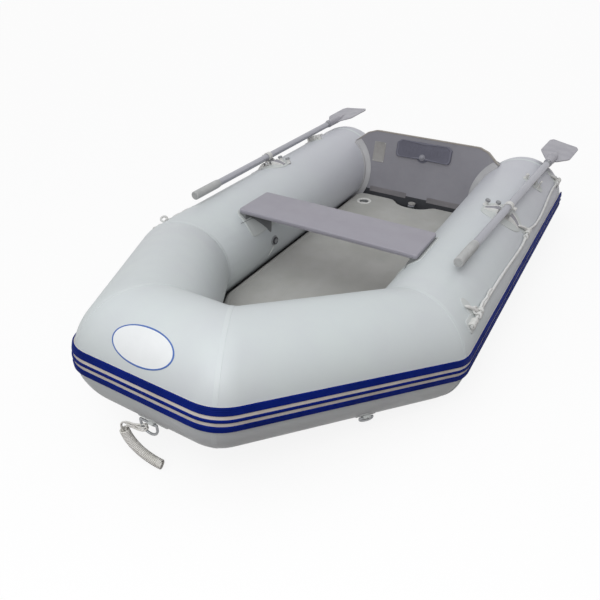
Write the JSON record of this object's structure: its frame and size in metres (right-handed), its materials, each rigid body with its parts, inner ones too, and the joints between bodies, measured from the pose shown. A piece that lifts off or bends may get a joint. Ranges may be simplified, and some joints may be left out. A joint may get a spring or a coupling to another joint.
{
  "type": "inflatable dinghy",
  "caption": "Inflatable dinghy with angular bow, wooden transom, plank seat, air floor, rubbing strake, grab lines, rowlocks and stowed oars.",
  "frame": {"origin": "under the middle of the boat with its oars stowed, on the ground it rests on", "axes": "bow towards -Y, stern and oar blades towards +Y, up +Z; sides are named right (+X) and left (-X) as someone who looks aft from the bow sees them"},
  "size_m": [1.3074, 2.368, 0.471],
  "materials": {
    "tube_fabric": "satin coated fabric",
    "strake_pale": "satin",
    "strake_blue": "satin",
    "bottom_fabric": "satin coated fabric",
    "deck_fabric": "matte coated fabric",
    "cap_rubber": "matte",
    "valve_plastic": "satin",
    "painted_board": "satin paint",
    "seat_wood": "satin paint",
    "pad_plastic": "matte",
    "bright_steel": "polished",
    "plate_plastic": "satin",
    "rowlock_plastic": "satin",
    "oar_tube": "anodised",
    "oar_plastic": "satin",
    "rope": "braided",
    "holder_plastic": "satin"
  },
  "bodies": {
    "hull": {"air_baffles": "tube_fabric", "air_deck": "deck_fabric", "badge": "plate_plastic", "blank_plate": "plate_plastic", "bottom_aft": "bottom_fabric", "bottom_bow": "bottom_fabric", "bow_ring_pad": "tube_fabric", "bow_tube": "tube_fabric", "deck_valve": "valve_plastic", "drain_tube": "valve_plastic", "grab_line_left": "rope", "grab_line_right": "rope", "keel_tube": "bottom_fabric", "keel_valve": "valve_plastic", "motor_pad_inner": "pad_plastic", "motor_pad_outer": "pad_plastic", "oar_clips": "cap_rubber", "pad_bolt": "bright_steel", "rope_holders": "holder_plastic", "rowlock_base_left": "rowlock_plastic", "rowlock_base_right": "rowlock_plastic", "rowlock_fins": "rowlock_plastic", "rowlock_patches": "rowlock_plastic", "rowlock_pins": "bright_steel", "seat_holders": "tube_fabric", "shoulder_tube_left": "tube_fabric", "shoulder_tube_right": "tube_fabric", "side_tube_left": "tube_fabric", "side_tube_right": "tube_fabric", "stern_caps": "cap_rubber", "strake_base": "strake_pale", "strake_ribs": "strake_blue", "tow_ring_pads": "tube_fabric", "transom_board": "painted_board", "transom_channels": "cap_rubber", "transom_strips": "tube_fabric", "tube_valve_left": "valve_plastic", "tube_valve_right": "valve_plastic"},
    "yoke_right": {"rowlock_yoke_right": "rowlock_plastic"},
    "collar_right": {"oar_collar_right": "rowlock_plastic"},
    "oar_right": {"oar_shaft_right": "oar_tube", "oar_grip_right": "oar_plastic", "oar_blade_right": "oar_plastic"},
    "tube_cap_right": {"tube_valve_cap_right": "valve_plastic"},
    "tow_ring_right": {"tow_ring_right": "bright_steel"},
    "yoke_left": {"rowlock_yoke_left": "rowlock_plastic"},
    "collar_left": {"oar_collar_left": "rowlock_plastic"},
    "oar_left": {"oar_shaft_left": "oar_tube", "oar_grip_left": "oar_plastic", "oar_blade_left": "oar_plastic"},
    "tube_cap_left": {"tube_valve_cap_left": "valve_plastic"},
    "tow_ring_left": {"tow_ring_left": "bright_steel"},
    "bow_ring": {"bow_ring": "bright_steel", "painter_rope": "rope", "painter_hank": "rope"},
    "seat": {"seat_board": "seat_wood"},
    "deck_cap": {"deck_valve_cap": "valve_plastic"},
    "keel_cap": {"keel_valve_cap": "valve_plastic"},
    "drain_plug": {"drain_plug": "valve_plastic"}
  },
  "joints": [
    {"name": "oar_rock_right", "type": "hinge", "parent": "hull", "child": "yoke_right", "pos_m": [0.53367, 0.2477, 0.36042], "axis": [0, -1, 0], "range_deg": [0, 20]},
    {"name": "oar_swing_right", "type": "hinge", "parent": "yoke_right", "child": "collar_right", "pos_m": [0.54256, 0.2477, 0.38485], "axis": [-0.342, 0, -0.9397], "range_deg": [0, 87]},
    {"name": "oar_feather_right", "type": "hinge", "parent": "collar_right", "child": "oar_right", "pos_m": [0.54256, 0.2477, 0.38485], "axis": [0.0459, 0.9988, -0.0167], "range_deg": [0, 55]},
    {"name": "tube_cap_turn_right", "type": "hinge", "parent": "hull", "child": "tube_cap_right", "pos_m": [0.283, -0.1053, 0.18], "axis": [-1, 0, 0], "range_deg": [0, 90]},
    {"name": "tow_ring_swing_right", "type": "hinge", "parent": "hull", "child": "tow_ring_right", "pos_m": [0.44497, -0.7839, 0.11295], "axis": [-0.5172, -0.8379, 0.1745], "range_deg": [-15, 95]},
    {"name": "oar_rock_left", "type": "hinge", "parent": "hull", "child": "yoke_left", "pos_m": [-0.53367, 0.2477, 0.36042], "axis": [0, 1, 0], "range_deg": [0, 20]},
    {"name": "oar_swing_left", "type": "hinge", "parent": "yoke_left", "child": "collar_left", "pos_m": [-0.54256, 0.2477, 0.38485], "axis": [-0.342, 0, 0.9397], "range_deg": [0, 87]},
    {"name": "oar_feather_left", "type": "hinge", "parent": "collar_left", "child": "oar_left", "pos_m": [-0.54256, 0.2477, 0.38485], "axis": [0.0098, -0.9999, 0.0036], "range_deg": [0, 55]},
    {"name": "tube_cap_turn_left", "type": "hinge", "parent": "hull", "child": "tube_cap_left", "pos_m": [-0.283, -0.1053, 0.18], "axis": [1, 0, 0], "range_deg": [0, 90]},
    {"name": "tow_ring_swing_left", "type": "hinge", "parent": "hull", "child": "tow_ring_left", "pos_m": [-0.44497, -0.7839, 0.11295], "axis": [-0.5172, 0.8379, -0.1745], "range_deg": [-15, 95]},
    {"name": "bow_ring_swing", "type": "hinge", "parent": "hull", "child": "bow_ring", "pos_m": [0, -1.14605, 0.17556], "axis": [-1, 0, 0], "range_deg": [-15, 95]},
    {"name": "seat_lift", "type": "slide", "parent": "hull", "child": "seat", "axis": [0, 0, 1], "range_m": [0, 0.1]},
    {"name": "deck_cap_turn", "type": "hinge", "parent": "hull", "child": "deck_cap", "pos_m": [-0.226, 0.63768, 0.06], "axis": [0, 0, 1], "range_deg": [0, 90]},
    {"name": "keel_cap_turn", "type": "hinge", "parent": "hull", "child": "keel_cap", "pos_m": [0, 0.71763, 0.095], "axis": [0, 0, 1], "range_deg": [0, 90]},
    {"name": "drain_plug_pull", "type": "slide", "parent": "hull", "child": "drain_plug", "axis": [0, 0.9703, -0.2419], "range_m": [0, 0.03]}
  ]
}
